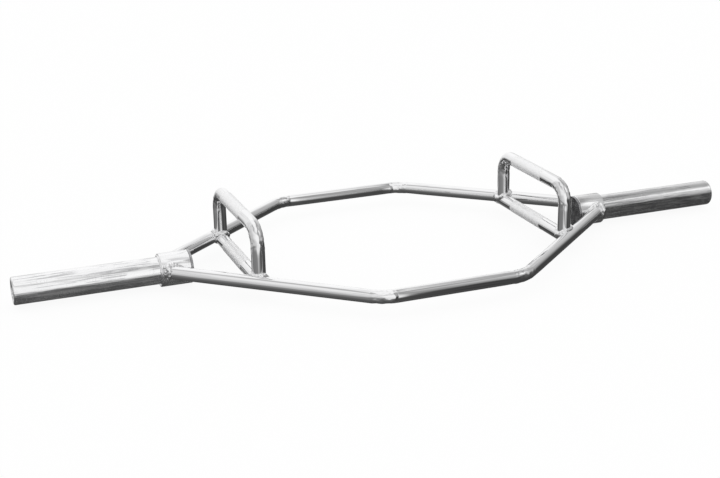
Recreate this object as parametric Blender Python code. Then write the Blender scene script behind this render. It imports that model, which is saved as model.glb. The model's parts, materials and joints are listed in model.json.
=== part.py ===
"""Hexagonal trap bar: two bent rails, two plate sleeves, a low and a raised handle at each side.

The bar lies along X and its front faces -Y. The origin is on the ground below the middle of the
bar, which lies on its two collars.
"""

import math

import bmesh
import bpy
from mathutils import Matrix, Vector

# Driving sizes, in metres.
OVERALL_LENGTH = 1.420
SLEEVE_OD = 0.050
SLEEVE_WALL = 0.007
SLEEVE_REACH = 0.258  # plain sleeve outside the collar
SLEEVE_CHAMFER = 0.0015
COLLAR_WALL = 0.0052
COLLAR_LENGTH = 0.058  # with the plate that closes its inner end
COLLAR_CHAMFER = 0.001
INNER_PLATE = 0.004
END_PLUG = 0.004
END_PLUG_RECESS = 0.0015
FRAME_WIDTH = 0.582  # between the axes of the front and rear rails
RAIL_SLANT = math.radians(41)  # from X
RAIL_OD = 0.024
RAIL_WALL = 0.004
RAIL_BEND = 0.065  # to the axis of the tube
RAIL_RISE = 0.003  # rail axis above the sleeve axis
RAIL_INSET = 0.019  # where a rail axis meets the skin of the collar, from the face of the collar
HANDLE_CLEAR = 0.092  # from the collar to the plane of the handles
HANDLE_OD = 0.025
HANDLE_WALL = 0.004
LOW_RISE = 0.001  # low handle axis above the sleeve axis
RAISED_RISE = 0.0965  # raised grip axis above the sleeve axis
RAISED_BEND = 0.034  # to the axis of the tube
LEG_INSET = 0.018  # leg axis from the rail axis, along Y
FOOT_CUT = 0.004  # flat end of a leg above the low handle's axis
GRIP_LENGTH = 0.120  # knurled band, on both the raised and the low handle
GRIP_SHIFT = 0.0115  # from the middle of the handle, towards the rear
KNURL_RAISE = 0.0004
BAND_RAMP = 0.001
SEAM = 0.0003  # clearance between welded pieces
FIT = 0.0003  # clearance of what sits in a bore
RAIL_BEAD = 0.0042  # radius of the weld round a rail's end
FOOT_BEAD = 0.0042  # radius of the welds round a handle's end and a leg's foot
SLEEVE_BEAD = 0.0025  # how far the ring weld stands out of the collar's face
WELD_BEVEL = 0.0025  # of the collar's bore, which the ring weld fills
BEAD_CROWN = math.sin(math.radians(45))  # share of the ring weld's height halfway round its section

CHROME = (0.86, 0.86, 0.87)
WELD_METAL = (0.80, 0.80, 0.81)
PLATE_STEEL = (0.42, 0.42, 0.43)
BRIGHT = 0.10  # roughness of polished chrome
TURNED = 0.16  # of the sleeves, worn by plates
HANDLED = 0.20  # of the handles
ROUGH = 0.28  # of weld beads and bare plates

TUBE_SIDES = 24
BORE_SIDES = 12
ROUND_SIDES = 40
CUTTER_SIDES = 36
RAIL_STEPS = 6  # facets along one bend
HANDLE_STEPS = 8
BEAD_SIDES = 6
BEAD_STEPS = 24
BEAD_EASING = 2  # rounds that take the corners out of a seam's line
SHARP_ANGLE = math.radians(32)
MERGE_DISTANCE = 1e-6
PARALLEL = 1e-12  # below this a line runs along a rod and never meets it

# What follows from them.
COLLAR_BORE = SLEEVE_OD + 2 * FIT
COLLAR_OD = COLLAR_BORE + 2 * COLLAR_WALL
AXIS_HEIGHT = COLLAR_OD / 2
SLEEVE_END = OVERALL_LENGTH / 2
COLLAR_FACE = SLEEVE_END - SLEEVE_REACH
COLLAR_BACK = COLLAR_FACE - COLLAR_LENGTH
RAIL_Z = AXIS_HEIGHT + RAIL_RISE
LOW_Z = AXIS_HEIGHT + LOW_RISE
RAISED_Z = AXIS_HEIGHT + RAISED_RISE
RAIL_SLOPE = math.tan(RAIL_SLANT)
RAIL_AIM_X = COLLAR_FACE - RAIL_INSET + COLLAR_OD / 2 / RAIL_SLOPE  # on the sleeve's axis
CORNER_Y = FRAME_WIDTH / 2
CORNER_X = RAIL_AIM_X - CORNER_Y / RAIL_SLOPE
HANDLE_X = COLLAR_BACK - HANDLE_CLEAR
HANDLE_END_Y = CORNER_Y - (HANDLE_X - CORNER_X) * RAIL_SLOPE  # rail axis above the handles
LEG_Y = HANDLE_END_Y - LEG_INSET
FOOT_Z = LOW_Z + FOOT_CUT
TRIM_DEPTH = 4 * HANDLE_OD  # of the block that ends a low handle
STOP_BLOCK = 2 * COLLAR_OD  # of the block that keeps welds off the plate stop
SIDES = {"left": -1, "right": 1}
ENDS = {"front": -1, "rear": 1}

X_AXIS = Vector((1, 0, 0))
Y_AXIS = Vector((0, 1, 0))
Z_AXIS = Vector((0, 0, 1))


def clear_scene():
    for item in list(bpy.data.objects):
        bpy.data.objects.remove(item, do_unlink=True)


def metal(name, colour, roughness):
    """A bare metal finish."""
    material = bpy.data.materials.new(name)
    material.use_nodes = True
    shader = material.node_tree.nodes["Principled BSDF"]
    shader.inputs["Base Color"].default_value = (*colour, 1)
    shader.inputs["Metallic"].default_value = 1
    shader.inputs["Roughness"].default_value = roughness
    return material


def add_object(name, bm, material=None):
    """Makes the mesh an object with its faces out, or a cutter where it has no material."""
    bmesh.ops.recalc_face_normals(bm, faces=bm.faces)
    mesh = bpy.data.meshes.new(name)
    bm.to_mesh(mesh)
    bm.free()
    item = bpy.data.objects.new(name, mesh)
    bpy.context.scene.collection.objects.link(item)
    if material:
        mesh.materials.append(material)
        mesh.shade_smooth()
        mesh.set_sharp_from_angle(angle=SHARP_ANGLE)
    else:
        item.hide_render = True
        item.display_type = "WIRE"
    return item


def combine(item, other, operation="DIFFERENCE"):
    """Cuts another object from this one, or joins it to this one."""
    modifier = item.modifiers.new(f"{operation} {other.name}", "BOOLEAN")
    modifier.operation = operation
    modifier.object = other
    modifier.solver = "EXACT"


def bend_stations(before, here, after, bend_radius, steps):
    """Points and directions along the arc that rounds a corner."""
    way_in = (here - before).normalized()
    way_out = (after - here).normalized()
    turn = way_in.angle(way_out)
    axis = way_in.cross(way_out).normalized()
    start = here - way_in * bend_radius * math.tan(turn / 2)
    centre = start + axis.cross(way_in) * bend_radius
    stations = []
    for step in range(steps + 1):
        swing = Matrix.Rotation(turn * step / steps, 3, axis)
        stations.append((centre + swing @ (start - centre), swing @ way_in, 0.0))
    return stations


def tube_stations(corners, bend_radius, steps):
    """The axis of a bent tube from end to end, as points, directions and how far the skin stands out."""
    stations = [(corners[0], (corners[1] - corners[0]).normalized(), 0.0)]
    for before, here, after in zip(corners, corners[1:], corners[2:]):
        stations += bend_stations(before, here, after, bend_radius, steps)
    stations.append((corners[-1], (corners[-1] - corners[-2]).normalized(), 0.0))
    return stations


def add_band(stations, length, raised):
    """Stations with a raised band at the middle of the tube."""
    before, after = stations[: len(stations) // 2], stations[len(stations) // 2 :]
    middle = (before[-1][0] + after[0][0]) / 2
    along = before[-1][1]
    rear = 1 if along.y > 0 else -1
    first = rear * GRIP_SHIFT - length / 2
    last = first + length
    steps = [(first - BAND_RAMP, 0.0), (first, raised), (last, raised), (last + BAND_RAMP, 0.0)]
    return before + [(middle + along * place, along, out) for place, out in steps] + after


def skin(bm, stations, binormal, radius, sides):
    """One wall of a tube. It returns the rings at the two ends."""
    rings = []
    for point, along, out in stations:
        across = binormal.cross(along)
        ring = []
        for side in range(sides):
            angle = math.tau * side / sides
            spoke = binormal * math.cos(angle) + across * math.sin(angle)
            ring.append(bm.verts.new(point + spoke * (radius + out)))
        rings.append(ring)
    for ring, following in zip(rings, rings[1:]):
        for side in range(sides):
            far = (side + 1) % sides
            bm.faces.new((ring[side], following[side], following[far], ring[far]))
    return rings[0], rings[-1]


def close_end(bm, outer, inner):
    """The flat end of a tube, between its skin and its bore."""
    share = len(outer) // len(inner)
    for index, corner in enumerate(inner):
        arc = [outer[(index * share + step) % len(outer)] for step in range(share + 1)]
        bm.faces.new([inner[(index + 1) % len(inner)], corner] + arc)


def bent_tube(name, corners, binormal, bend_radius, diameter, wall, steps, material, band=0.0):
    """A hollow tube along straight legs and round bends that lie square to the binormal."""
    bm = bmesh.new()
    stations = tube_stations(corners, bend_radius, steps)
    if band:
        stations = add_band(stations, band, KNURL_RAISE)
    outer = skin(bm, stations, binormal, diameter / 2, TUBE_SIDES)
    bore_path = tube_stations(corners, bend_radius, max(1, steps // 2))
    inner = skin(bm, bore_path, binormal, diameter / 2 - wall, BORE_SIDES)
    for outer_ring, inner_ring in zip(outer, inner):
        close_end(bm, outer_ring, inner_ring)
    return add_object(name, bm, material)


def turned(name, profile, side, sides=ROUND_SIDES, material=None):
    """A body turned about the sleeve axis. The profile is closed, as distance along X and radius."""
    bm = bmesh.new()
    points = [bm.verts.new((side * along, 0, AXIS_HEIGHT + radius)) for along, radius in profile]
    edges = [bm.edges.new(pair) for pair in zip(points, points[1:] + points[:1])]
    centre = Vector((0, 0, AXIS_HEIGHT))
    bmesh.ops.spin(
        bm, geom=points + edges, cent=centre, axis=X_AXIS, angle=math.tau, steps=sides, use_merge=True
    )
    bmesh.ops.remove_doubles(bm, verts=bm.verts, dist=MERGE_DISTANCE)
    return add_object(name, bm, material)


def disc(name, start, thickness, radius, side, material):
    """A round plate square to the sleeve axis."""
    profile = [(start, radius), (start + thickness, radius)]
    bm = bmesh.new()
    rings = []
    for along, out in profile:
        centre = Vector((side * along, 0, AXIS_HEIGHT))
        ring = []
        for step in range(ROUND_SIDES):
            angle = math.tau * step / ROUND_SIDES
            ring.append(bm.verts.new(centre + (Y_AXIS * math.cos(angle) + Z_AXIS * math.sin(angle)) * out))
        rings.append(ring)
        bm.faces.new(ring)
    for step in range(ROUND_SIDES):
        far = (step + 1) % ROUND_SIDES
        bm.faces.new((rings[0][step], rings[1][step], rings[1][far], rings[0][far]))
    return add_object(name, bm, material)


def round_cutter(name, start, stop, radius):
    """A solid rod whose flats clear the given radius."""
    span = stop - start
    bm = bmesh.new()
    place = Matrix.Translation((start + stop) / 2) @ span.to_track_quat("Z", "Y").to_matrix().to_4x4()
    reach = radius / math.cos(math.pi / CUTTER_SIDES)
    bmesh.ops.create_cone(
        bm,
        cap_ends=True,
        segments=CUTTER_SIDES,
        radius1=reach,
        radius2=reach,
        depth=span.length,
        matrix=place,
    )
    return add_object(name, bm)


def travel_to_rod(point, direction, rod):
    """How far a line runs before it meets a rod, or None."""
    start, along, radius = rod
    offset = point - start
    across = direction - along * direction.dot(along)
    aside = offset - along * offset.dot(along)
    a = across.dot(across)
    b = 2 * across.dot(aside)
    c = aside.dot(aside) - radius * radius
    root = b * b - 4 * a * c
    if a < PARALLEL or root < 0:
        return None
    return (-b - math.sqrt(root)) / (2 * a)


def seam_points(centre, direction, radius, rods, stop_point, stop_normal):
    """The line where a tube's skin first meets the rods, or else the plane that ends the tube."""
    turn = direction.to_track_quat("Z", "Y").to_matrix()
    points = []
    for index in range(BEAD_STEPS):
        angle = math.tau * index / BEAD_STEPS
        out = turn @ Vector((math.cos(angle), math.sin(angle), 0))
        start = centre + out * radius
        plane = (stop_point - start).dot(stop_normal) / direction.dot(stop_normal)
        met = [travel_to_rod(start, direction, rod) for rod in rods]
        points.append((start + direction * min([plane] + [far for far in met if far is not None]), out))
    for _ in range(BEAD_EASING):
        points = [
            ((points[index - 1][0] + point * 2 + points[(index + 1) % BEAD_STEPS][0]) / 4, out)
            for index, (point, out) in enumerate(points)
        ]
    return points


def bead_ring(name, points, radius, material=None):
    """A round bead laid along a closed seam."""
    bm = bmesh.new()
    rings = []
    count = len(points)
    for index, (point, out) in enumerate(points):
        along = (points[(index + 1) % count][0] - points[index - 1][0]).normalized()
        across = (out - along * out.dot(along)).normalized()
        over = along.cross(across)
        ring = []
        for side in range(BEAD_SIDES):
            angle = math.tau * side / BEAD_SIDES
            ring.append(bm.verts.new(point + (across * math.cos(angle) + over * math.sin(angle)) * radius))
        rings.append(ring)
    for index, ring in enumerate(rings):
        following = rings[(index + 1) % count]
        for side in range(BEAD_SIDES):
            far = (side + 1) % BEAD_SIDES
            bm.faces.new((ring[side], following[side], following[far], ring[far]))
    bmesh.ops.triangulate(bm, faces=bm.faces)
    return add_object(name, bm, material)


def rail_run(side, end):
    """A slanted run's axis, as a point on it and its direction towards the collar."""
    start = Vector((side * CORNER_X, end * CORNER_Y, RAIL_Z))
    stop = Vector((side * RAIL_AIM_X, 0, RAIL_Z))
    return start, (stop - start).normalized()


def make_rail(name, end, material):
    """A rail runs from one collar's axis to the other, and is cut back to the collars' skin."""
    corners = [
        Vector((-RAIL_AIM_X, 0, RAIL_Z)),
        Vector((-CORNER_X, end * CORNER_Y, RAIL_Z)),
        Vector((CORNER_X, end * CORNER_Y, RAIL_Z)),
        Vector((RAIL_AIM_X, 0, RAIL_Z)),
    ]
    return bent_tube(name, corners, Z_AXIS, RAIL_BEND, RAIL_OD, RAIL_WALL, RAIL_STEPS, material)


def make_low_handle(name, side, material):
    """A straight grip between the front and rear rails."""
    reach = HANDLE_END_Y + RAIL_OD
    corners = [Vector((side * HANDLE_X, -reach, LOW_Z)), Vector((side * HANDLE_X, reach, LOW_Z))]
    return bent_tube(name, corners, X_AXIS, 0, HANDLE_OD, HANDLE_WALL, 1, material, GRIP_LENGTH)


def make_raised_handle(name, side, material):
    """An arch that stands on the low handle's ends."""
    x = side * HANDLE_X
    corners = [
        Vector((x, -LEG_Y, FOOT_Z)),
        Vector((x, -LEG_Y, RAISED_Z)),
        Vector((x, LEG_Y, RAISED_Z)),
        Vector((x, LEG_Y, FOOT_Z)),
    ]
    bends = (X_AXIS, RAISED_BEND, HANDLE_OD, HANDLE_WALL, HANDLE_STEPS)
    return bent_tube(name, corners, *bends, material, GRIP_LENGTH)


def sleeve_profile():
    """Section of the plate sleeve, from the plate at its inner end to its chamfered outer end."""
    outer = SLEEVE_OD / 2
    inner = outer - SLEEVE_WALL
    start = COLLAR_BACK + INNER_PLATE + SEAM
    return [
        (start, inner),
        (start, outer),
        (SLEEVE_END - SLEEVE_CHAMFER, outer),
        (SLEEVE_END, outer - SLEEVE_CHAMFER),
        (SLEEVE_END, inner),
    ]


def collar_profile():
    """Section of the collar that the rails are welded to and the plates stop against."""
    outer = COLLAR_OD / 2
    inner = COLLAR_BORE / 2
    start = COLLAR_BACK + INNER_PLATE + SEAM
    return [
        (start, inner),
        (start, outer),
        (COLLAR_FACE - COLLAR_CHAMFER, outer),
        (COLLAR_FACE, outer - COLLAR_CHAMFER),
        (COLLAR_FACE, inner + WELD_BEVEL),
        (COLLAR_FACE - WELD_BEVEL, inner),
    ]


def sleeve_weld_profile():
    """Section of the bead in the bevel between collar and sleeve, which leaves the collar's face free."""
    foot = SLEEVE_OD / 2 + SEAM
    slack = SEAM * math.sqrt(2)  # along the face, for a clearance square to the bevel
    rim = COLLAR_BORE / 2 + WELD_BEVEL - slack
    root = COLLAR_FACE - WELD_BEVEL + foot - COLLAR_BORE / 2 + slack
    return [
        (root, foot),
        (COLLAR_FACE, rim),
        (COLLAR_FACE + SLEEVE_BEAD * BEAD_CROWN, foot + (rim - foot) * BEAD_CROWN),
        (COLLAR_FACE + SLEEVE_BEAD, foot),
    ]


def collar_cutter(side):
    """Clears the collar, and the sleeve in line with it, from what is welded to the collar."""
    start = Vector((side * (COLLAR_BACK - COLLAR_OD), 0, AXIS_HEIGHT))
    stop = Vector((side * (COLLAR_FACE + COLLAR_OD), 0, AXIS_HEIGHT))
    return round_cutter(f"collar_cutter_{side}", start, stop, COLLAR_OD / 2 + SEAM)


def face_cutter(side):
    """Keeps the welds behind the face that the plates stop against."""
    bm = bmesh.new()
    centre = Vector((side * (COLLAR_FACE - COLLAR_CHAMFER + STOP_BLOCK / 2), 0, AXIS_HEIGHT))
    bmesh.ops.create_cube(bm, size=STOP_BLOCK, matrix=Matrix.Translation(centre))
    return add_object(f"face_cutter_{side}", bm)


def rail_cutter(side, end):
    """Clears a slanted run from what stands against it."""
    start, along = rail_run(side, end)
    length = (Vector((side * RAIL_AIM_X, 0, RAIL_Z)) - start).length
    return round_cutter(f"rail_cutter_{side}_{end}", start, start + along * length, RAIL_OD / 2 + SEAM)


def rail_trim(side, end):
    """Ends a low handle at the upright plane through the rail's axis."""
    start, along = rail_run(side, end)
    bm = bmesh.new()
    out = Vector((-along.y, along.x, 0)) * side * end
    length = (RAIL_AIM_X - CORNER_X) / math.cos(RAIL_SLANT)
    middle = start + along * length / 2 + out * TRIM_DEPTH / 2
    turn = Matrix((along, out, Z_AXIS)).transposed().to_4x4()
    scale = Matrix.Diagonal((length, TRIM_DEPTH, TRIM_DEPTH, 1))
    bmesh.ops.create_cube(bm, size=1, matrix=Matrix.Translation(middle) @ turn @ scale)
    return add_object(f"rail_trim_{side}_{end}", bm)


def low_cutter(side):
    """Clears a low handle from the leg and the welds on it."""
    reach = HANDLE_END_Y + RAIL_OD
    start = Vector((side * HANDLE_X, -reach, LOW_Z))
    stop = Vector((side * HANDLE_X, reach, LOW_Z))
    return round_cutter(f"low_cutter_{side}", start, stop, HANDLE_OD / 2 + SEAM)


def leg_cutter(side, end):
    """Clears a leg, and the inside of its foot, from the welds round it."""
    foot = Vector((side * HANDLE_X, end * LEG_Y, FOOT_Z - SEAM))
    top = Vector((side * HANDLE_X, end * LEG_Y, RAISED_Z))
    return round_cutter(f"leg_cutter_{side}_{end}", foot, top, HANDLE_OD / 2 + SEAM)


def rail_weld(name, side, end, material):
    """The bead round a rail's end, on the collar."""
    start, along = rail_run(side, end)
    collar = (Vector((0, 0, AXIS_HEIGHT)), X_AXIS, COLLAR_OD / 2)
    stop = Vector((side * RAIL_AIM_X, 0, RAIL_Z))
    points = seam_points(start, along, RAIL_OD / 2, [collar], stop, along)
    return bead_ring(name, points, RAIL_BEAD, material)


def foot_weld(name, side, end, material):
    """The bead round a low handle's end, with the one round the leg that stands on it."""
    rail_start, rail_along = rail_run(side, end)
    rail = (rail_start, rail_along, RAIL_OD / 2)
    across = Vector((-rail_along.y, rail_along.x, 0))
    out = Y_AXIS * end
    centre = Vector((side * HANDLE_X, 0, LOW_Z))
    seam = seam_points(centre, out, HANDLE_OD / 2, [rail], rail_start, across)
    weld = bead_ring(name, seam, FOOT_BEAD, material)
    low = (centre, Y_AXIS, HANDLE_OD / 2)
    top = Vector((side * HANDLE_X, end * LEG_Y, RAISED_Z))
    foot = Vector((side * HANDLE_X, end * LEG_Y, FOOT_Z))
    seam = seam_points(top, -Z_AXIS, HANDLE_OD / 2, [low, rail], foot, Z_AXIS)
    combine(weld, bead_ring(f"{name}_foot_ring", seam, FOOT_BEAD), "UNION")
    return weld


def build():
    clear_scene()
    bore = SLEEVE_OD / 2 - SLEEVE_WALL
    rails = {}
    for end_name, end in ENDS.items():
        rails[end] = make_rail(f"{end_name}_rail", end, metal(f"{end_name} rail chrome", CHROME, BRIGHT))
    for side_name, side in SIDES.items():
        sleeve_chrome = metal(f"{side_name} sleeve chrome", CHROME, TURNED)
        turned(f"{side_name}_sleeve", sleeve_profile(), side, material=sleeve_chrome)
        collar_chrome = metal(f"{side_name} collar chrome", CHROME, BRIGHT)
        turned(f"{side_name}_collar", collar_profile(), side, material=collar_chrome)
        bead_chrome = metal(f"{side_name} sleeve weld chrome", WELD_METAL, ROUGH)
        turned(f"{side_name}_sleeve_weld", sleeve_weld_profile(), side, material=bead_chrome)
        plate_steel = metal(f"{side_name} inner plate steel", PLATE_STEEL, ROUGH)
        disc(f"{side_name}_inner_plate", COLLAR_BACK, INNER_PLATE, COLLAR_OD / 2, side, plate_steel)
        plug_start = SLEEVE_END - END_PLUG_RECESS - END_PLUG
        plug_chrome = metal(f"{side_name} end plug chrome", CHROME, TURNED)
        disc(f"{side_name}_end_plug", plug_start, END_PLUG, bore - FIT, side, plug_chrome)

        collar = collar_cutter(side)
        face = face_cutter(side)
        low = low_cutter(side)
        low_chrome = metal(f"{side_name} low handle chrome", CHROME, HANDLED)
        low_handle = make_low_handle(f"{side_name}_low_handle", side, low_chrome)
        raised_chrome = metal(f"{side_name} raised handle chrome", CHROME, HANDLED)
        raised_handle = make_raised_handle(f"{side_name}_raised_handle", side, raised_chrome)
        combine(raised_handle, low)
        for end_name, end in ENDS.items():
            saddle = rail_cutter(side, end)
            trim = rail_trim(side, end)
            leg = leg_cutter(side, end)
            combine(rails[end], collar)
            combine(low_handle, trim)
            combine(low_handle, saddle)
            combine(raised_handle, saddle)
            place = f"{side_name}_{end_name}"
            bead_chrome = metal(f"{place} rail weld chrome", WELD_METAL, ROUGH)
            bead = rail_weld(f"{place}_rail_weld", side, end, bead_chrome)
            for cutter in (collar, saddle, face):
                combine(bead, cutter)
            bead_chrome = metal(f"{place} foot weld chrome", WELD_METAL, ROUGH)
            bead = foot_weld(f"{place}_foot_weld", side, end, bead_chrome)
            for cutter in (low, saddle, leg):
                combine(bead, cutter)


build()
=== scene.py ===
import json
import math
import random

import bmesh
import bpy
import numpy as np
from mathutils import Matrix, Vector

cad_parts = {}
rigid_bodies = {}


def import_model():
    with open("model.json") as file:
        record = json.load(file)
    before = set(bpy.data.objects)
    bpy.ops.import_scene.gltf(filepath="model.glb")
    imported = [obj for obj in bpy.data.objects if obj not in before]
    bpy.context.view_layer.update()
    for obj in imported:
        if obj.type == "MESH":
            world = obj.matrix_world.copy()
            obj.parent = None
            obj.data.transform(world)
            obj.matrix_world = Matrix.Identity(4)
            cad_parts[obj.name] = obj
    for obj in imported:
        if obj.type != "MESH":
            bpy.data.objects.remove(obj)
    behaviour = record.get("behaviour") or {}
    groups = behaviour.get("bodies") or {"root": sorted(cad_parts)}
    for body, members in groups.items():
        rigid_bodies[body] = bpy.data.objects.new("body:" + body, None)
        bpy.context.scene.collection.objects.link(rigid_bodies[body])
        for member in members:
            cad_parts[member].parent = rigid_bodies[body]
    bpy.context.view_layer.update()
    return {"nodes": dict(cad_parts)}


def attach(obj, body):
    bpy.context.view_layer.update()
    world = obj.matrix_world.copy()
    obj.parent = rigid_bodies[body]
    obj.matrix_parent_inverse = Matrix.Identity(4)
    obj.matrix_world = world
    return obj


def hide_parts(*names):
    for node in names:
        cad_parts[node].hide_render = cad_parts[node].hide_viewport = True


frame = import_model()
bpy.ops.object.select_all(action="DESELECT")
print("frame loaded:", len(frame["nodes"]), "nodes")

# Sizes of the bar in metres, as in the CAD but for handleStop, which only the scene has.
bar = {
    "axisHeight": 0.0305,
    "sleeveEnd": 0.710,
    "sleeveRadius": 0.025,
    "sleeveWall": 0.007,
    "collarFace": 0.452,
    "collarBack": 0.394,
    "collarRadius": 0.0305,
    "plateThickness": 0.004,
    "railRadius": 0.012,
    "railBend": 0.065,
    "railHeight": 0.0335,
    "railSlant": math.radians(41),
    "railInset": 0.019,
    "frameHalfWidth": 0.291,
    "handleX": 0.302,
    "handleRadius": 0.0125,
    "lowHeight": 0.0315,
    "raisedHeight": 0.127,
    "raisedBend": 0.034,
    "legInset": 0.018,
    "footCut": 0.004,
    "handleStop": 0.008,
    "gripLength": 0.120,
    "gripShift": 0.0115,
    "seam": 0.0003,
}
railSlope = math.tan(bar["railSlant"])
railAimX = bar["collarFace"] - bar["railInset"] + bar["collarRadius"] / railSlope
cornerX = railAimX - bar["frameHalfWidth"] / railSlope
handleEndY = bar["frameHalfWidth"] - (bar["handleX"] - cornerX) * railSlope
legY = handleEndY - bar["legInset"]
footHeight = bar["lowHeight"] + bar["footCut"]
alongX = Vector((1, 0, 0))
alongY = Vector((0, 1, 0))
upward = Vector((0, 0, 1))
tiny = 1e-6  # merge distance
cutterCount = 96  # sides of a rod that cuts

# The bar is the same on all four sides, so a piece is modelled once, and its twins are mirrored.
corners = {
    "right_front": (1, 1),
    "right_rear": (1, -1),
    "left_front": (-1, 1),
    "left_rear": (-1, -1),
}
twinShift = {"x": 3.1, "y": 7.3}  # metres that a twin's surface pattern is slid along


# Working helpers
def take(piece):
    bpy.ops.object.select_all(action="DESELECT")
    bpy.context.view_layer.objects.active = piece
    piece.select_set(True)


def editMesh(piece):
    take(piece)
    bpy.ops.object.mode_set(mode="EDIT")


def leaveEdit():
    bpy.ops.object.mode_set(mode="OBJECT")
    bpy.ops.object.select_all(action="DESELECT")


def selectFaces(piece, wanted):
    bpy.ops.mesh.select_mode(type="FACE")
    bpy.ops.mesh.select_all(action="DESELECT")
    mesh = bmesh.from_edit_mesh(piece.data)
    for face in mesh.faces:
        if wanted(face):
            face.select_set(True)
    mesh.select_flush(True)
    bmesh.update_edit_mesh(piece.data)


def selectEdges(piece, wanted):
    bpy.ops.mesh.select_mode(type="EDGE")
    bpy.ops.mesh.select_all(action="DESELECT")
    mesh = bmesh.from_edit_mesh(piece.data)
    for edge in mesh.edges:
        if wanted(edge):
            edge.select_set(True)
    bmesh.update_edit_mesh(piece.data)


def tilt(direction):
    return direction.to_track_quat("Z", "Y").to_euler()


# Names a piece and puts its place, turn and size into its mesh.
def settle(piece, name):
    piece.name = name
    piece.data.name = name
    take(piece)
    bpy.ops.object.transform_apply(location=True, rotation=True, scale=True)
    return piece


def applyAll(piece):
    take(piece)
    for modifier in list(piece.modifiers):
        bpy.ops.object.modifier_apply(modifier=modifier.name)


def smooth(piece, degrees):
    take(piece)
    bpy.ops.object.shade_smooth_by_angle(angle=math.radians(degrees))


def addRing(centre, direction, radius, count):
    bpy.ops.mesh.primitive_circle_add(
        vertices=count, radius=radius, fill_type="NOTHING", location=centre, rotation=tilt(direction)
    )
    piece = bpy.context.active_object
    editMesh(piece)
    bpy.ops.mesh.select_mode(type="VERT")
    bpy.ops.mesh.select_all(action="SELECT")
    return piece


def runOn(direction, distance, loops=1):
    for _ in range(loops):
        step = direction * (distance / loops)
        bpy.ops.mesh.extrude_region_move(TRANSFORM_OT_translate={"value": step})


def swellBy(factor, centre):
    bpy.ops.transform.resize(value=(factor, factor, factor), center_override=centre)


def turnOn(centre, axis, angle, loops):
    bpy.ops.mesh.spin(steps=loops, angle=-angle, center=centre, axis=axis)  # spin turns clockwise


def capEnds(piece):
    selectEdges(piece, lambda edge: edge.is_boundary)
    bpy.ops.mesh.fill_holes(sides=0)
    bpy.ops.mesh.select_all(action="SELECT")
    bpy.ops.mesh.remove_doubles(threshold=tiny)
    bpy.ops.mesh.normals_make_consistent(inside=False)


def rodCutter(start, stop, radius):
    span = stop - start
    middle = (start + stop) / 2
    bpy.ops.mesh.primitive_cylinder_add(
        vertices=cutterCount, radius=radius, depth=span.length, location=middle, rotation=tilt(span)
    )
    return bpy.context.active_object


def cutBy(piece, cutters):
    for cutter in cutters:
        modifier = piece.modifiers.new("cope", "BOOLEAN")
        modifier.operation = "DIFFERENCE"
        modifier.solver = "EXACT"
        modifier.object = cutter
    applyAll(piece)
    for cutter in cutters:
        bpy.data.objects.remove(cutter)


def arcPoints(pivot, first, axis, angle, loops):
    return [pivot + Matrix.Rotation(angle * step / loops, 3, axis) @ first for step in range(loops + 1)]


def lengthOf(path):
    return sum((b - a).length for a, b in zip(path, path[1:]))


# The grain attribute lays a tube out straight: along its line, over it and across it.
def layGrain(piece, path, over):
    points = np.array([tuple(point) for point in path], float)
    starts = points[:-1]
    spans = points[1:] - starts
    lengths = np.linalg.norm(spans, axis=1)
    headings = spans / lengths[:, None]
    travelled = np.concatenate([[0.0], np.cumsum(lengths)[:-1]])
    places = np.empty(len(piece.data.vertices) * 3, float)
    piece.data.vertices.foreach_get("co", places)
    offsets = places.reshape(-1, 3)[:, None, :] - starts[None]
    shares = np.clip((offsets * headings[None]).sum(2), 0, lengths[None])
    misses = offsets - shares[..., None] * headings[None]
    nearest = (misses**2).sum(2).argmin(1)
    rows = np.arange(len(nearest))
    over = np.array(tuple(over), float)
    across = np.cross(over, headings[nearest])
    miss = misses[rows, nearest]
    along = travelled[nearest] + shares[rows, nearest]
    grain = np.stack([along, miss @ over, (miss * across).sum(1)], 1)
    layer = piece.data.attributes.new("grain", "FLOAT_VECTOR", "POINT")
    layer.data.foreach_set("vector", grain.astype(np.float32).ravel())


def readGrain(piece):
    values = np.empty(len(piece.data.vertices) * 3, np.float32)
    piece.data.attributes["grain"].data.foreach_get("vector", values)
    return values.reshape(-1, 3)


# A vertex group that is full between two distances along the tube and fades out past them.
def markStretches(piece, stretches, fade):
    along = readGrain(piece)[:, 0]
    group = piece.vertex_groups.new(name="worked")
    weight = np.zeros(len(along))
    for first, last in stretches:
        inside = np.minimum(along - first, last - along) / fade + 1
        weight = np.maximum(weight, np.clip(inside, 0, 1))
    for index in np.flatnonzero(weight):
        group.add([int(index)], float(weight[index]), "REPLACE")


# Shallow lumps in the metal itself, most of them pressed inwards
lumpLevel = 0.66


def dent(piece, size, depth, group=""):
    lumps = bpy.data.textures.new(piece.name + "_lumps", "CLOUDS")
    lumps.noise_scale = size
    lumps.noise_depth = 1
    push = piece.modifiers.new("dents", "DISPLACE")
    push.texture = lumps
    push.texture_coords = "LOCAL"
    push.strength = depth
    push.mid_level = lumpLevel
    push.vertex_group = group
    applyAll(piece)


# A mirrored copy with its own mesh, its faces turned outwards again and its pattern slid along.
def mirrorCopy(piece, name, flipX, flipY):
    take(piece)
    bpy.ops.object.duplicate(linked=False)
    twin = bpy.context.active_object
    twin.scale = (flipX, flipY, 1)
    settle(twin, name)
    editMesh(twin)
    bpy.ops.mesh.select_mode(type="VERT")
    bpy.ops.mesh.select_all(action="SELECT")
    bpy.ops.mesh.normals_make_consistent(inside=False)
    leaveEdit()
    grain = readGrain(twin)
    grain[:, 0] += twinShift["x"] * (flipX < 0) + twinShift["y"] * (flipY < 0)
    twin.data.attributes["grain"].data.foreach_set("vector", grain.ravel())
    return twin


def finish(piece, material, node):
    piece.data.materials.clear()
    piece.data.materials.append(material)
    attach(piece, "root")
    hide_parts(node)


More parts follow.
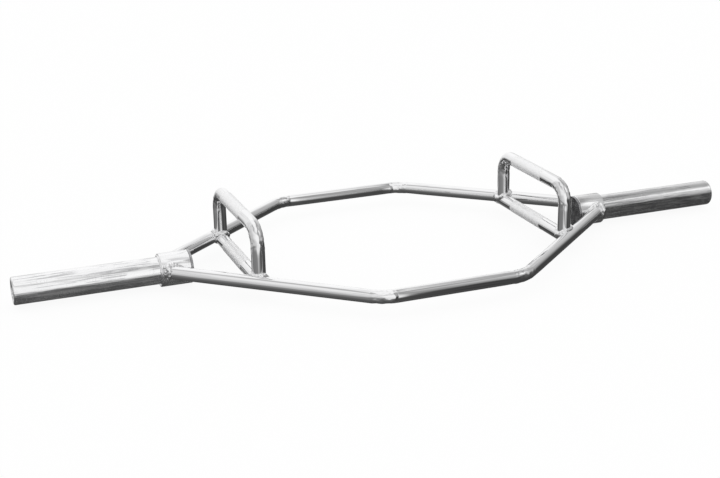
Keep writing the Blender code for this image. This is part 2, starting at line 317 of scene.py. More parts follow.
def railAxis():
    start = Vector((cornerX, -bar["frameHalfWidth"], bar["railHeight"]))
    stop = Vector((railAimX, 0, bar["railHeight"]))
    return start, stop


# Chrome, drawn and polished along the grain of each tube, with darker streak lines in its colour
tubeLook = {
    "colour": (0.90, 0.90, 0.905),
    # The darker streak colour is partly wear and partly painted reflection of ridges along the tube.
    "streakAndReflectionColour": (0.50, 0.50, 0.51),
    "streakShare": 0.4,
    "streakFrom": 0.53,
    "streakTo": 0.65,
    "lineSize": 0.0022,
    "lineLength": 0.15,
    "patchFrom": 0.40,
    "patchTo": 0.60,
    "waveSize": 0.014,
    "waveLength": 0.12,
    "waveDepth": 0.0003,
    "rippleSize": 0.005,
    "rippleLength": 0.06,
    "rippleDepth": 0.00006,
    "ringDepth": 0.000003,
    "roughLow": 0.02,
    "roughHigh": 0.07,
    "ringRough": 0.04,
}
sleeveLook = dict(
    tubeLook,
    streakShare=0.80,
    streakFrom=0.52,
    streakTo=0.57,
    lineSize=0.0024,
    lineLength=0.09,
    patchTo=0.50,
    waveSize=0.018,
    waveLength=0.10,
    waveDepth=0.0006,
    rippleSize=0.0045,
    rippleLength=0.05,
    rippleDepth=0.00026,
    roughHigh=0.10,
    ringRough=0.16,
    ringDepth=0.00001,
    scuffMatt=0.07,
)
collarLook = dict(
    sleeveLook,
    streakShare=0.55,
    lineSize=0.0045,
    lineLength=0.06,
    waveLength=0.06,
    waveSize=0.012,
    waveDepth=0.0008,
    rippleLength=0.02,
    rippleDepth=0.0001,
    ringRough=0.05,
)
handleLook = dict(
    tubeLook,
    gripRough=0.44,
    gripMatt=0.43,
    gripColour=(0.99, 0.99, 0.99),
    # The groove colour is painted shade in the knurl's grooves.
    grooveShadeColour=(0.84, 0.84, 0.85),
)
weldLook = dict(
    tubeLook,
    streakShare=0.15,
    waveLength=0.008,
    waveSize=0.008,
    rippleSize=0.003,
    rippleLength=0.003,
    rippleDepth=0.00004,
    roughLow=0.15,
    roughHigh=0.28,
)
plateLook = dict(
    tubeLook,
    colour=(0.42, 0.42, 0.43),
    streakAndReflectionColour=(0.25, 0.25, 0.25),
    roughLow=0.20,
    roughHigh=0.35,
)
plugLook = dict(tubeLook, roughLow=0.12, roughHigh=0.25)

# How large each pattern is across and along the grain, where in its noise it starts and is full,
# and how fine the noise is
patchSize = (0.020, 0.060)
ringSize = (0.030, 0.0012)
scuffSize = (0.004, 0.050)
hazeSize = (0.012, 0.030)
ringRange = (0.56, 0.66)
scuffRange = (0.42, 0.66)
hazeRange = (0.35, 0.7)
plainDetail = 2
lineDetail = 3
fineDetail = 4
knurlEdge = (0.00001, 0.00004)  # how far past the smooth tube the knurling starts to show
grooveShadeFade = (0.00007, 0.00012)  # the same for where the painted shade in its grooves gives way to its flanks


def chrome(name, look):
    material = bpy.data.materials.new(name)
    material.use_nodes = True
    nodes = material.node_tree.nodes
    link = material.node_tree.links.new
    shader = nodes["Principled BSDF"]
    shader.inputs["Metallic"].default_value = 1.0
    grain = nodes.new("ShaderNodeAttribute")
    grain.attribute_name = "grain"

    def noise(size, length, detail=plainDetail):
        mapping = nodes.new("ShaderNodeMapping")
        mapping.inputs["Scale"].default_value = (size / length, 1, 1)
        link(grain.outputs["Vector"], mapping.inputs["Vector"])
        texture = nodes.new("ShaderNodeTexNoise")
        texture.inputs["Scale"].default_value = 1 / size
        texture.inputs["Detail"].default_value = detail
        link(mapping.outputs["Vector"], texture.inputs["Vector"])
        return texture.outputs["Fac"]

    def remap(source, low, high, toLow=0.0, toHigh=1.0):
        node = nodes.new("ShaderNodeMapRange")
        node.interpolation_type = "SMOOTHSTEP"
        for socket, value in (("From Min", low), ("From Max", high), ("To Min", toLow), ("To Max", toHigh)):
            node.inputs[socket].default_value = value
        link(source, node.inputs["Value"])
        return node.outputs["Result"]

    def combine(operation, first, second):
        node = nodes.new("ShaderNodeMath")
        node.operation = operation
        for socket, value in zip(node.inputs, (first, second)):
            if isinstance(value, float):
                socket.default_value = value
            else:
                link(value, socket)
        return node.outputs["Value"]

    def blendColours(share, first, second):
        node = nodes.new("ShaderNodeMix")
        node.data_type = "RGBA"
        link(share, node.inputs["Factor"])
        for socket, value in (("A", first), ("B", second)):
            if isinstance(value, tuple):
                node.inputs[socket].default_value = (*value, 1)
            else:
                link(value, node.inputs[socket])
        return node.outputs["Result"]

    patches = remap(noise(*patchSize), look["patchFrom"], look["patchTo"])
    lineNoise = noise(look["lineSize"], look["lineLength"], lineDetail)
    lines = remap(lineNoise, look["streakFrom"], look["streakTo"])
    # Streak lines darken the colour: partly wear, partly painted reflection of ridges along the tube.
    streaks = combine("MULTIPLY", combine("MULTIPLY", lines, patches), look["streakShare"])
    rings = combine("MULTIPLY", remap(noise(*ringSize), *ringRange), patches)
    colour = blendColours(streaks, look["colour"], look["streakAndReflectionColour"])
    rough = remap(noise(*hazeSize, fineDetail), *hazeRange, look["roughLow"], look["roughHigh"])
    rough = combine("ADD", rough, combine("MULTIPLY", rings, look["ringRough"]))

    if "scuffMatt" in look:
        # Worn chrome scatters a little light along its streaks and rings.
        scuffs = combine("MAXIMUM", remap(noise(*scuffSize, fineDetail), *scuffRange), rings)
        metal = combine("SUBTRACT", 1.0, combine("MULTIPLY", scuffs, look["scuffMatt"]))
        link(metal, shader.inputs["Metallic"])
    if "gripRough" in look:
        # Knurled metal stands proud of the tube and scatters the light.
        split = nodes.new("ShaderNodeSeparateXYZ")
        link(grain.outputs["Vector"], split.inputs["Vector"])
        squares = [combine("POWER", split.outputs[axis], 2.0) for axis in ("Y", "Z")]
        fromAxis = combine("SQRT", combine("ADD", *squares), 0.0)
        outside = combine("SUBTRACT", fromAxis, bar["handleRadius"])
        onGrip = remap(outside, *knurlEdge)
        rough = combine("MAXIMUM", rough, combine("MULTIPLY", onGrip, look["gripRough"]))
        metal = combine("SUBTRACT", 1.0, combine("MULTIPLY", onGrip, look["gripMatt"]))
        link(metal, shader.inputs["Metallic"])
        # The grooves get a darker colour than the flanks above them: painted shade in the grooves.
        gripColour = blendColours(remap(outside, *grooveShadeFade), look["grooveShadeColour"], look["gripColour"])
        colour = blendColours(onGrip, colour, gripColour)
    link(colour, shader.inputs["Base Color"])
    link(rough, shader.inputs["Roughness"])

    bump = None
    ripples = [
        (noise(look["waveSize"], look["waveLength"]), look["waveDepth"]),
        (noise(look["rippleSize"], look["rippleLength"]), look["rippleDepth"]),
        (rings, look["ringDepth"]),
    ]
    for source, depth in ripples:
        node = nodes.new("ShaderNodeBump")
        node.inputs["Strength"].default_value = 1.0
        node.inputs["Distance"].default_value = depth
        link(source, node.inputs["Height"])
        if bump:
            link(bump, node.inputs["Normal"])
        bump = node.outputs["Normal"]
    link(bump, shader.inputs["Normal"])
    return material


tubeChrome = chrome("railChrome", tubeLook)
sleeveChrome = chrome("sleeveChrome", sleeveLook)
collarChrome = chrome("collarChrome", collarLook)
handleChrome = chrome("handleChrome", handleLook)
weldChrome = chrome("weldChrome", weldLook)
plateSteel = chrome("plateSteel", plateLook)
plugChrome = chrome("plugChrome", plugLook)
print("materials done")

# The rails: the front one is modelled from left to right, the rear one is its twin.
rail = {
    "count": 64,
    "coarseLoops": 12,
    "fineLoops": 30,
    "fineLength": 0.060,
    "bendLoops": 34,
    "dentSize": 0.009,
    "dentDepth": 0.0015,
    "dentFade": 0.006,
    "cutFrom": 0.75,  # share of the collar's back from which the collar is cut out
    "cutTo": 1.25,  # share of the collar's face to which it is
    "sharp": 32,
}


def buildRail():
    startRight, stopRight = railAxis()
    startLeft = startRight.copy()
    stopLeft = stopRight.copy()
    startLeft.x *= -1
    stopLeft.x *= -1
    turn = bar["railSlant"]
    tangent = bar["railBend"] * math.tan(turn / 2)
    fine = rail["fineLength"]
    slant = (stopRight - startRight).length - tangent - fine
    inwards = (startLeft - stopLeft).normalized()
    outwards = (stopRight - startRight).normalized()

    piece = addRing(stopLeft, inwards, bar["railRadius"], rail["count"])
    runOn(inwards, fine, rail["fineLoops"])
    runOn(inwards, slant, rail["coarseLoops"])
    path = [stopLeft]
    bends = []
    for corner, heading, following in ((startLeft, inwards, alongX), (startRight, alongX, outwards)):
        axis = heading.cross(following).normalized()
        bendStart = corner - heading * tangent
        pivot = bendStart + axis.cross(heading) * bar["railBend"]
        turnOn(pivot, axis, turn, rail["bendLoops"])
        first = lengthOf(path + [bendStart])
        bends.append((first, first + bar["railBend"] * turn))
        path += arcPoints(pivot, bendStart - pivot, axis, turn, rail["bendLoops"])
        if corner is startLeft:
            runOn(alongX, 2 * (cornerX - tangent), rail["coarseLoops"])
    runOn(outwards, slant, rail["coarseLoops"])
    runOn(outwards, fine, rail["fineLoops"])
    path.append(stopRight)
    capEnds(piece)
    leaveEdit()
    settle(piece, "front_rail_tube")

    # Both ends are coped to the collars.
    cutters = []
    for side in (-1, 1):
        root = Vector((side * bar["collarBack"] * rail["cutFrom"], 0, bar["axisHeight"]))
        reach = Vector((side * bar["collarFace"] * rail["cutTo"], 0, bar["axisHeight"]))
        cutters.append(rodCutter(root, reach, bar["collarRadius"] + bar["seam"]))
    cutBy(piece, cutters)
    layGrain(piece, path, upward)
    markStretches(piece, bends, rail["dentFade"])
    return piece


frontRail = buildRail()
rearRail = mirrorCopy(frontRail, "rear_rail_tube", 1, -1)
for piece, node in ((frontRail, "front_rail"), (rearRail, "rear_rail")):
    dent(piece, rail["dentSize"], rail["dentDepth"], "worked")
    smooth(piece, rail["sharp"])
    finish(piece, tubeChrome, node)
print("rails done")

# The handles, with diamonds raised from a band of square faces
handle = {
    "count": 50,
    "lowOverrun": 0.004,
    "lowFine": 0.045,
    "legFine": 0.030,
    "fineLoops": 20,
    "coarseLoops": 6,
    "bendLoops": 24,
    "dentSize": 0.0055,
    "dentDepth": 0.0016,
    "dentFade": 0.008,
    "cutReach": 1.5,  # of the low handle's cutter, in handle ends
    "blockSize": 3,  # of the block that cuts the feet, in handle ends
    "sharp": 45,
}
knurl = {"rows": 76, "valley": 0.00008, "height": 0.00015, "ramp": 0.0008}
gripStart = bar["gripShift"] - bar["gripLength"] / 2
gripEnd = bar["gripShift"] + bar["gripLength"] / 2


def knurlBand(piece, lowest):
    def inBand(face):
        return all(gripStart - tiny < v.co.y < gripEnd + tiny and v.co.z > lowest for v in face.verts)

    editMesh(piece)
    selectFaces(piece, inBand)
    mesh = bmesh.from_edit_mesh(piece.data)
    squares = {edge for face in mesh.faces if face.select for edge in face.edges}
    inner = {edge.index for edge in squares if all(face.select for face in edge.link_faces)}
    for edge in mesh.edges:
        edge.seam = edge.index in inner
    bmesh.update_edit_mesh(piece.data)
    bpy.ops.mesh.poke()
    selectEdges(piece, lambda edge: edge.seam)
    bpy.ops.mesh.dissolve_edges(use_verts=False)  # leaves squares turned to diamonds
    selectFaces(piece, inBand)
    bpy.ops.mesh.poke(offset=knurl["height"])
    leaveEdit()


# Extrudes a straight stretch along Y with the knurled band in it.
def runGrip(start, stop, height):
    swollen = (bar["handleRadius"] + knurl["valley"]) / bar["handleRadius"]
    ramp = knurl["ramp"]
    runOn(alongY, gripStart - ramp - start, handle["coarseLoops"])
    runOn(alongY, ramp)
    swellBy(swollen, Vector((bar["handleX"], gripStart, height)))
    runOn(alongY, gripEnd - gripStart, knurl["rows"])
    runOn(alongY, ramp)
    swellBy(1 / swollen, Vector((bar["handleX"], gripEnd + ramp, height)))
    runOn(alongY, stop - gripEnd - ramp, handle["coarseLoops"])


# Removes what a cut has left loose beside the middle of the piece.
def dropLoose(piece):
    editMesh(piece)
    bpy.ops.mesh.select_mode(type="VERT")
    bpy.ops.mesh.select_all(action="DESELECT")
    mesh = bmesh.from_edit_mesh(piece.data)
    middle = min(mesh.verts, key=lambda vert: abs(vert.co.y))
    middle.select_set(True)
    bmesh.update_edit_mesh(piece.data)
    bpy.ops.mesh.select_linked()
    bpy.ops.mesh.select_all(action="INVERT")
    bpy.ops.mesh.delete(type="VERT")
    leaveEdit()


def railCutters():
    cutters = []
    for end in (1, -1):
        first, last = railAxis()
        first.y *= end
        cutters.append(rodCutter(first, last, bar["railRadius"] + bar["seam"]))
    return cutters


# Under a rail, which a low handle would pass, the handle stops short of the rail's axis.
def stopCutters(size):
    cutters = []
    for end in (1, -1):
        first, last = railAxis()
        along = (last - first).normalized()
        middle = Vector((bar["handleX"], -handleEndY, bar["railHeight"]))
        middle += Vector((along.y, -along.x, 0)) * (size / 2 - bar["handleStop"])
        middle.y *= end
        bpy.ops.mesh.primitive_cube_add(size=size, location=middle, rotation=(0, 0, bar["railSlant"] * end))
        cutters.append(bpy.context.active_object)
    return cutters


def buildLowHandle():
    reach = handleEndY + handle["lowOverrun"]
    fine = handle["lowFine"]
    start = Vector((bar["handleX"], -reach, bar["lowHeight"]))
    piece = addRing(start, alongY, bar["handleRadius"], handle["count"])
    runOn(alongY, fine, handle["fineLoops"])
    runGrip(fine - reach, reach - fine, bar["lowHeight"])
    runOn(alongY, fine, handle["fineLoops"])
    capEnds(piece)
    leaveEdit()
    settle(piece, "right_low_handle_bar")
    cutBy(piece, railCutters() + stopCutters(handleEndY))
    dropLoose(piece)
    knurlBand(piece, 0)
    layGrain(piece, [start, start + alongY * 2 * reach], upward)
    return piece


def buildRaisedHandle():
    x = bar["handleX"]
    bend = bar["raisedBend"]
    fine = handle["legFine"]
    bottom = bar["lowHeight"]
    rise = bar["raisedHeight"] - bottom - bend
    quarter = math.pi / 2
    foot = Vector((x, -legY, bottom))
    piece = addRing(foot, upward, bar["handleRadius"], handle["count"])
    runOn(upward, fine, handle["fineLoops"])
    runOn(upward, rise - fine, handle["coarseLoops"])
    pivot = Vector((x, bend - legY, bottom + rise))
    turnOn(pivot, -alongX, quarter, handle["bendLoops"])
    path = [foot] + arcPoints(pivot, -alongY * bend, alongX, -quarter, handle["bendLoops"])
    runGrip(bend - legY, legY - bend, bar["raisedHeight"])
    pivot = Vector((x, legY - bend, bottom + rise))
    turnOn(pivot, -alongX, quarter, handle["bendLoops"])
    path += arcPoints(pivot, upward * bend, alongX, -quarter, handle["bendLoops"])
    runOn(-upward, rise - fine, handle["coarseLoops"])
    runOn(-upward, fine, handle["fineLoops"])
    path.append(Vector((x, legY, bottom)))
    capEnds(piece)
    leaveEdit()
    settle(piece, "right_raised_handle_bar")

    reach = alongY * handleEndY * handle["cutReach"]
    low = Vector((x, 0, bar["lowHeight"]))
    cutters = railCutters()
    cutters.append(rodCutter(low - reach, low + reach, bar["handleRadius"] + bar["seam"]))
    block = handle["blockSize"] * handleEndY
    bpy.ops.mesh.primitive_cube_add(size=block, location=(x, 0, footHeight - block / 2))
    cutters.append(bpy.context.active_object)
    cutBy(piece, cutters)
    knurlBand(piece, bar["raisedHeight"] - 2 * bar["handleRadius"])
    layGrain(piece, path, alongX)
    arc = bend * quarter
    straight = 2 * (legY - bend)
    bends = [(rise, rise + arc), (rise + arc + straight, rise + 2 * arc + straight)]
    markStretches(piece, bends, handle["dentFade"])
    return piece


for build, form in ((buildLowHandle, "low_handle"), (buildRaisedHandle, "raised_handle")):
    rightHandle = build()
    leftHandle = mirrorCopy(rightHandle, "left_" + form + "_bar", -1, 1)
    for piece, sideName in ((rightHandle, "right_"), (leftHandle, "left_")):
        if form == "raised_handle":
            dent(piece, handle["dentSize"], handle["dentDepth"], "worked")
        smooth(piece, handle["sharp"])
        finish(piece, handleChrome, sideName + form)
print("handles done")

# Sleeve, collar, inner plate and end plug are turned about the sleeve's axis.
turned = {
    "count": 96,
    "sleeveLoops": 60,
    "longRun": 0.1,  # a run longer than this gets the loops
    "discStart": 0.5,  # share of a disc's radius at which its profile starts
    "lipDepth": 0.0026,
    "edge": 0.0010,
    "collarEdge": 0.0012,
    "collarBevel": 0.0025,
    "plugSink": 0.0015,
    "plugThickness": 0.004,
    "sharp": 30,
    "dentSize": 0.022,
    "dentDepth": 0.00022,
    "dentFade": 0.02,
}


def turnPiece(name, profile, loops=1):
    centre = Vector((profile[0][0], 0, bar["axisHeight"]))
    piece = addRing(centre, alongX, profile[0][1], turned["count"])
    for (x, radius), (nextX, nextRadius) in zip(profile, profile[1:]):
        runOn(alongX, nextX - x, loops if abs(nextX - x) > turned["longRun"] else 1)
        if abs(nextRadius - radius) > tiny:
            swellBy(nextRadius / radius, Vector((nextX, 0, bar["axisHeight"])))
    if profile[0] == profile[-1]:
        bpy.ops.mesh.select_all(action="SELECT")
        bpy.ops.mesh.remove_doubles(threshold=tiny)
    capEnds(piece)
    leaveEdit()
    settle(piece, name)
    start = Vector((0, 0, bar["axisHeight"]))
    layGrain(piece, [start, start + alongX], upward)
    return piece


def buildSleeve():
    start = bar["collarBack"] + bar["plateThickness"] + bar["seam"]
    end = bar["sleeveEnd"]
    outer = bar["sleeveRadius"]
    bore = outer - bar["sleeveWall"]
    edge = turned["edge"]
    profile = [
        (start, outer),
        (end - turned["lipDepth"], outer),
        (end - edge, outer - edge / 2),
        (end, outer - 2 * edge),
        (end, bore + edge),
        (end - edge, bore),
        (start, bore),
        (start, outer),
    ]
    piece = turnPiece("right_sleeve_tube", profile, turned["sleeveLoops"])
    fade = turned["dentFade"]
    markStretches(piece, [(bar["collarFace"] + fade, end - turned["lipDepth"] - fade)], fade)
    return piece


def buildCollar():
    start = bar["collarBack"] + bar["plateThickness"] + bar["seam"]
    face = bar["collarFace"]
    outer = bar["collarRadius"]
    inner = bar["sleeveRadius"] + bar["seam"]
    edge = turned["collarEdge"]
    profile = [
        (start, inner),
        (start, outer - edge / 2),
        (start + edge / 2, outer),
        (face - edge, outer),
        (face - edge / 3, outer - edge / 3),
        (face, outer - edge),
        (face, inner + turned["collarBevel"]),
        (face - turned["collarBevel"], inner),
        (start, inner),
    ]
    return turnPiece("right_collar_tube", profile)


def buildInnerPlate():
    back = bar["collarBack"]
    front = back + bar["plateThickness"]
    outer = bar["collarRadius"]
    edge = turned["edge"]
    profile = [
        (back, outer * turned["discStart"]),
        (back, outer - edge),
        (back + edge, outer),
        (front - edge / 2, outer),
        (front, outer - edge / 2),
    ]
    return turnPiece("right_inner_disc", profile)


def buildEndPlug():
    lid = bar["sleeveEnd"] - turned["plugSink"]
    radius = bar["sleeveRadius"] - bar["sleeveWall"] - bar["seam"]
    edge = turned["edge"]
    profile = [
        (lid - turned["plugThickness"], radius),
        (lid - edge, radius),
        (lid, radius - edge),
        (lid, radius * turned["discStart"]),
    ]
    return turnPiece("right_end_disc", profile)


turnedPieces = [
    (buildSleeve, sleeveChrome, "sleeve_chrome", "sleeve"),
    (buildCollar, collarChrome, "polished_chrome", "collar"),
    (buildInnerPlate, plateSteel, "plate_steel", "inner_plate"),
    (buildEndPlug, plugChrome, "sleeve_chrome", "end_plug"),
]
for build, material, slot, node in turnedPieces:
    rightPiece = build()
    leftPiece = mirrorCopy(rightPiece, rightPiece.name.replace("right", "left"), -1, 1)
    for piece, sideName in ((rightPiece, "right_"), (leftPiece, "left_")):
        if node == "sleeve":
            dent(piece, turned["dentSize"], turned["dentDepth"], "worked")
        smooth(piece, turned["sharp"])
        finish(piece, material, sideName + node)
print("sleeves done")

# Weld beads follow the line where one tube meets another.
bead = {
    "steps": 96,
    "easing": 3,
    "ripple": 0.08,
    "ripplePitch": 0.0050,
    "swells": 10,
    "unevenness": 0.25,
    "underShare": 0.20,
    "underRise": 1.6,  # how soon a bead is at full thickness above its lowest point
    "railRadius": 0.0060,
    "coverRadius": 0.0050,
    "coverSpread": 0.0012,
    "coverReach": 0.0110,
    "tipReach": 0.0010,
    "tipSwell": 0.15,
    "tipLength": 0.014,
    "footRadius": 0.0062,
    "ringRadius": 0.0023,
    "ringSteps": 160,
    "ringOffset": 0.0011,
    "roundness": 5,
    "voxel": 0.00055,
    "relaxFactor": 0.5,
    "relaxTurns": 2,
    "lumpSize": 0.0085,
    "lumpDepth": 0.0024,
    "ringLumpDepth": 0.0012,
    "sharp": 180,
    "railSeed": 11,
    "footSeed": 31,
    "ringSeed": 51,
}


# Where a line from the point in the direction first enters a rod
def meetRod(point, direction, start, along, radius):
    offset = point - start
    across = direction - along * direction.dot(along)
    aside = offset - along * offset.dot(along)
    a = across.dot(across)
    b = 2 * across.dot(aside)
    c = aside.dot(aside) - radius * radius
    root = b * b - 4 * a * c
    if a < tiny * tiny or root < 0:
        return None
    return (-b - math.sqrt(root)) / (2 * a)


def seamLine(centre, direction, radius, rods, stopPoint, stopNormal):
    turn = direction.to_track_quat("Z", "Y").to_matrix()
    points = []
    for index in range(bead["steps"]):
        angle = math.tau * index / bead["steps"]
        start = centre + turn @ Vector((math.cos(angle), math.sin(angle), 0)) * radius
        reach = [(stopPoint - start).dot(stopNormal) / direction.dot(stopNormal)]
        for rod in rods:
            met = meetRod(start, direction, *rod)
            if met is not None:
                reach.append(met)
        points.append(start + direction * min(reach))
    for _ in range(bead["easing"]):
        following = points[1:] + points[:1]
        points = [(points[i - 1] + points[i] * 2 + following[i]) / 4 for i in range(len(points))]
    return points


# A bead is a run of overlapping puddles, thinner under the tubes than above them. It thickens towards
# a tip, the distance along X where one is given, and stays short of it.
def layBead(name, seams, seed, tip=math.inf):
    chance = random.Random(seed)
    heights = [point.z for points, radius in seams for point in points]
    lowest, highest = min(heights), max(heights)
    line = bpy.data.curves.new(name, "CURVE")
    line.dimensions = "3D"
    line.bevel_depth = 1.0
    line.bevel_resolution = bead["roundness"]
    for points, radius in seams:
        spline = line.splines.new("POLY")
        spline.points.add(len(points) - 1)
        spline.use_cyclic_u = True
        travelled = 0.0
        swells = [1 + chance.uniform(-1, 1) * bead["unevenness"] for _ in range(bead["swells"])]
        for index, point in enumerate(points):
            spline.points[index].co = (*point, 1)
            puddle = 1 - bead["ripple"] * (travelled / bead["ripplePitch"] % 1)
            place = index / len(points) * len(swells)
            low = swells[int(place) % len(swells)]
            high = swells[(int(place) + 1) % len(swells)]
            share = place - int(place)
            swell = low + (high - low) * (3 * share**2 - 2 * share**3)
            above = (point.z - lowest) / (highest - lowest)
            under = bead["underShare"] + (1 - bead["underShare"]) * min(1, bead["underRise"] * above)
            nearTip = max(0, 1 - (tip - point.x) / bead["tipLength"])
            thickness = radius * swell * puddle * under * (1 + bead["tipSwell"] * nearTip)
            spline.points[index].co.x = min(point.x, tip - bead["tipReach"] - thickness)
            spline.points[index].radius = thickness
            travelled += (points[(index + 1) % len(points)] - point).length
    piece = bpy.data.objects.new(name, line)
    bpy.context.scene.collection.objects.link(piece)
    take(piece)
    bpy.ops.object.convert(target="MESH")
    piece = bpy.context.active_object
    fuse = piece.modifiers.new("fuse", "REMESH")
    fuse.mode = "VOXEL"
    fuse.voxel_size = bead["voxel"]
    relax = piece.modifiers.new("relax", "SMOOTH")
    relax.factor = bead["relaxFactor"]
    relax.iterations = bead["relaxTurns"]
    applyAll(piece)
    settle(piece, name)
    layGrain(piece, [Vector((0, 0, 0)), alongX], upward)
    return piece


def buildRailBead():
    first, last = railAxis()
    along = (last - first).normalized()
    collar = (Vector((0, 0, bar["axisHeight"])), alongX, bar["collarRadius"])
    seam = seamLine(first, along, bar["railRadius"], [collar], last, along)
    cover = seamLine(first, along, bar["railRadius"] + bead["coverSpread"], [collar], last, along)
    for point in cover:
        point -= along * max(0, point.x + bead["coverReach"] - bar["collarFace"]) / along.x
    seams = [(seam, bead["railRadius"]), (cover, bead["coverRadius"])]
    return layBead("right_front_rail_bead", seams, bead["railSeed"], bar["collarFace"])


def buildFootBead():
    first, last = railAxis()
    along = (last - first).normalized()
    rod = (first, along, bar["railRadius"])
    centre = Vector((bar["handleX"], 0, bar["lowHeight"]))
    railSide = Vector((-along.y, along.x, 0))
    low = (centre, alongY, bar["handleRadius"])
    stopPoint = first + railSide * bar["handleStop"]
    lowSeam = seamLine(centre, -alongY, bar["handleRadius"], [rod], stopPoint, railSide)
    top = Vector((bar["handleX"], -legY, bar["raisedHeight"]))
    foot = Vector((bar["handleX"], -legY, footHeight))
    legSeam = seamLine(top, -upward, bar["handleRadius"], [low, rod], foot, upward)
    seams = [(lowSeam, bead["footRadius"]), (legSeam, bead["footRadius"])]
    return layBead("right_front_foot_bead", seams, bead["footSeed"])


def buildSleeveBead():
    radius = bar["sleeveRadius"] + bead["ringOffset"]
    centre = Vector((bar["collarFace"], 0, bar["axisHeight"]))
    ring = []
    for index in range(bead["ringSteps"]):
        angle = math.tau * index / bead["ringSteps"]
        ring.append(centre + Vector((0, math.cos(angle), math.sin(angle))) * radius)
    return layBead("right_sleeve_bead", [(ring, bead["ringRadius"])], bead["ringSeed"])


def finishBead(piece, node, lumpDepth):
    dent(piece, bead["lumpSize"], lumpDepth)
    smooth(piece, bead["sharp"])
    finish(piece, weldChrome, node)


for build, form in ((buildRailBead, "rail"), (buildFootBead, "foot")):
    first = build()
    beads = {"right_front": first}
    for place, flips in corners.items():
        if place != "right_front":
            beads[place] = mirrorCopy(first, place + "_" + form + "_bead", *flips)
    for place, piece in beads.items():
        finishBead(piece, place + "_" + form + "_weld", bead["lumpDepth"])
rightRing = buildSleeveBead()
leftRing = mirrorCopy(rightRing, "left_sleeve_bead", -1, 1)
for piece, node in ((rightRing, "right_sleeve_weld"), (leftRing, "left_sleeve_weld")):
    finishBead(piece, node, bead["ringLumpDepth"])
print("welds done")

# Camera, at the place and angle of the photograph
camera = {
    "place": (-0.88657, -2.17749, 0.84539),
    "yaw": math.radians(20.6816),
    "pitch": math.radians(19.1821),
    "roll": math.radians(-1.0048),
    "lens": 65.035,
    "sensor": 36,
    "nearest": 0.05,
}


def setCamera():
    yaw, pitch, roll = camera["yaw"], camera["pitch"], camera["roll"]
    forward = Vector((math.sin(yaw) * math.cos(pitch), math.cos(yaw) * math.cos(pitch), -math.sin(pitch)))
    right = Vector((math.cos(yaw), -math.sin(yaw), 0))
    up = right.cross(forward)
    tiltedRight = right * math.cos(roll) + up * math.sin(roll)
    tiltedUp = up * math.cos(roll) - right * math.sin(roll)
    lens = bpy.data.cameras.new("photoCamera")
    lens.lens = camera["lens"]
    lens.sensor_width = camera["sensor"]
    lens.sensor_fit = "HORIZONTAL"
    lens.clip_start = camera["nearest"]
    view = bpy.data.objects.new("photoCamera", lens)
    bpy.context.scene.collection.objects.link(view)
    axes = Matrix((tiltedRight, tiltedUp, -forward)).transposed()
    view.matrix_world = Matrix.Translation(camera["place"]) @ axes.to_4x4()
    bpy.context.scene.camera = view


setCamera()

# Floor and studio. Chrome has no look but what stands round it: pale walls over a darker ground.
studio = {
    "floorSize": 40,
    "floorDrop": 0.0006,
    "floorColour": (0.95, 0.95, 0.95),
    "floorGlow": 0.92,
    "ground": 0.07,
    "sheenHeight": -50,
    "overBeam": 0.93,
    "ceiling": 0.86,
}


# A wall stands at an azimuth: 0 straight back, 90 to the right, 180 towards the camera. Its foot blurs
# from shade to light at an elevation, and a dimmer beam may run near its top. Each level, from 0 to 1, is
# how bright the chrome shows it.
def wall(azimuth, foot, blur, shade, light, top, sheen=0.06, beam=60, half=14, beamLight=0.90):
    stops = [
        (-90, studio["ground"]),
        (studio["sheenHeight"], sheen),
        (foot - blur, shade),
        (foot + blur, light),
        (beam - half, top),
        (beam, beamLight),
        (beam + half, studio["overBeam"]),
        (90, studio["ceiling"]),
    ]
    return azimuth, stops


walls = [
    wall(-180, foot=-16, blur=13, shade=0.11, light=0.80, top=0.90, sheen=0.13, beam=50, beamLight=0.64),
    wall(-166, foot=-20, blur=9, shade=0.14, light=0.78, top=0.88, sheen=0.11, beam=52, beamLight=0.64),
    wall(-148, foot=-10, blur=12, shade=0.20, light=0.62, top=0.82, sheen=0.09, beam=60, beamLight=0.60),
    wall(-110, foot=-8, blur=10, shade=0.19, light=0.52, top=0.82, sheen=0.09, beam=66, beamLight=0.42),
    wall(-62, foot=-6, blur=12, shade=0.17, light=0.52, top=0.68, sheen=0.09, beam=68, beamLight=0.43),
    wall(-28, foot=-8, blur=12, shade=0.036, light=0.78, top=0.93, sheen=0.05),
    wall(18, foot=-27, blur=9, shade=0.10, light=0.86, top=0.97),
    wall(48, foot=3, blur=7, shade=0.06, light=0.60, top=0.55, beam=54, half=17, beamLight=0.36),
    wall(78, foot=12, blur=14, shade=0.05, light=0.41, top=0.43, sheen=0.042, beam=63, beamLight=0.27),
    wall(118, foot=12, blur=9, shade=0.10, light=0.50, top=0.98, sheen=0.045, beam=60, beamLight=0.34),
    wall(145, foot=14, blur=10, shade=0.05, light=0.42, top=0.50, sheen=0.048, beam=60, beamLight=0.25),
    wall(156, foot=12, blur=12, shade=0.045, light=0.28, top=0.30, sheen=0.062, beam=58, beamLight=0.42),
    wall(169, foot=-12, blur=16, shade=0.088, light=0.94, top=0.88, sheen=0.14, beam=49, beamLight=0.62),
]
walls.append((180, walls[0][1]))  # closes the circle


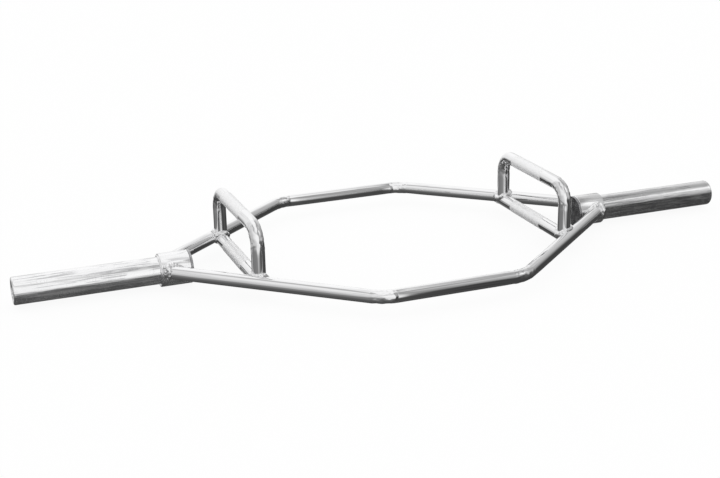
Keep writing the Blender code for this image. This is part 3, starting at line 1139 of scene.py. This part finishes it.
def buildWorld():
    world = bpy.data.worlds.new("studioWorld")
    world.use_nodes = True
    bpy.context.scene.world = world
    nodes = world.node_tree.nodes
    link = world.node_tree.links.new
    direction = nodes.new("ShaderNodeTexCoord")
    split = nodes.new("ShaderNodeSeparateXYZ")
    link(direction.outputs["Generated"], split.inputs["Vector"])
    height = nodes.new("ShaderNodeMapRange")
    height.inputs["From Min"].default_value = -1
    height.inputs["From Max"].default_value = 1
    link(split.outputs["Z"], height.inputs["Value"])
    turn = nodes.new("ShaderNodeMath")
    turn.operation = "ARCTAN2"
    link(split.outputs["X"], turn.inputs[0])
    link(split.outputs["Y"], turn.inputs[1])

    light = None
    before = None
    for azimuth, stops in walls:
        ramp = nodes.new("ShaderNodeValToRGB")
        ramp.color_ramp.interpolation = "EASE"
        while len(ramp.color_ramp.elements) < len(stops):
            ramp.color_ramp.elements.new(0.5)
        for element, (elevation, level) in zip(ramp.color_ramp.elements, stops):
            shown = level / tubeLook["colour"][0]
            element.position = (math.sin(math.radians(elevation)) + 1) / 2
            element.color = (shown, shown, shown, 1)
        link(height.outputs["Result"], ramp.inputs["Fac"])
        if light is None:
            light = ramp.outputs["Color"]
        else:
            blend = nodes.new("ShaderNodeMapRange")
            blend.interpolation_type = "SMOOTHSTEP"
            blend.inputs["From Min"].default_value = math.radians(before)
            blend.inputs["From Max"].default_value = math.radians(azimuth)
            link(turn.outputs["Value"], blend.inputs["Value"])
            mix = nodes.new("ShaderNodeMix")
            mix.data_type = "RGBA"
            link(blend.outputs["Result"], mix.inputs["Factor"])
            link(light, mix.inputs["A"])
            link(ramp.outputs["Color"], mix.inputs["B"])
            light = mix.outputs["Result"]
        before = azimuth

    # Only glossy rays see the walls. The camera and matt surfaces see plain white.
    rays = nodes.new("ShaderNodeLightPath")
    pick = nodes.new("ShaderNodeMix")
    pick.data_type = "RGBA"
    link(rays.outputs["Is Glossy Ray"], pick.inputs["Factor"])
    pick.inputs["A"].default_value = (1, 1, 1, 1)
    link(light, pick.inputs["B"])
    link(pick.outputs["Result"], nodes["Background"].inputs["Color"])
    nodes["Background"].inputs["Strength"].default_value = 1.0


def buildFloor():
    bpy.ops.mesh.primitive_plane_add(size=studio["floorSize"], location=(0, 0, -studio["floorDrop"]))
    floor = bpy.context.active_object
    floor.name = "floor"
    material = bpy.data.materials.new("floorPaper")
    material.use_nodes = True
    nodes = material.node_tree.nodes
    link = material.node_tree.links.new
    nodes.remove(nodes["Principled BSDF"])
    paper = nodes.new("ShaderNodeBsdfDiffuse")
    paper.inputs["Color"].default_value = (*studio["floorColour"], 1)
    glow = nodes.new("ShaderNodeEmission")
    glow.inputs["Strength"].default_value = 1.0
    rays = nodes.new("ShaderNodeLightPath")
    seen = nodes.new("ShaderNodeMath")
    seen.operation = "MAXIMUM"
    link(rays.outputs["Is Camera Ray"], seen.inputs[0])
    link(rays.outputs["Is Transmission Ray"], seen.inputs[1])
    share = nodes.new("ShaderNodeMath")
    share.operation = "MULTIPLY"
    share.inputs[1].default_value = studio["floorGlow"]
    link(seen.outputs["Value"], share.inputs[0])
    mix = nodes.new("ShaderNodeMixShader")
    link(share.outputs["Value"], mix.inputs["Fac"])
    link(paper.outputs["BSDF"], mix.inputs[1])
    link(glow.outputs["Emission"], mix.inputs[2])
    link(mix.outputs["Shader"], nodes["Material Output"].inputs["Surface"])
    floor.data.materials.append(material)
    floor.visible_glossy = False  # the chrome shows the studio's darker ground instead


buildWorld()
buildFloor()
bpy.ops.object.select_all(action="DESELECT")
bpy.context.scene.view_settings.view_transform = "Standard"
print("studio done")
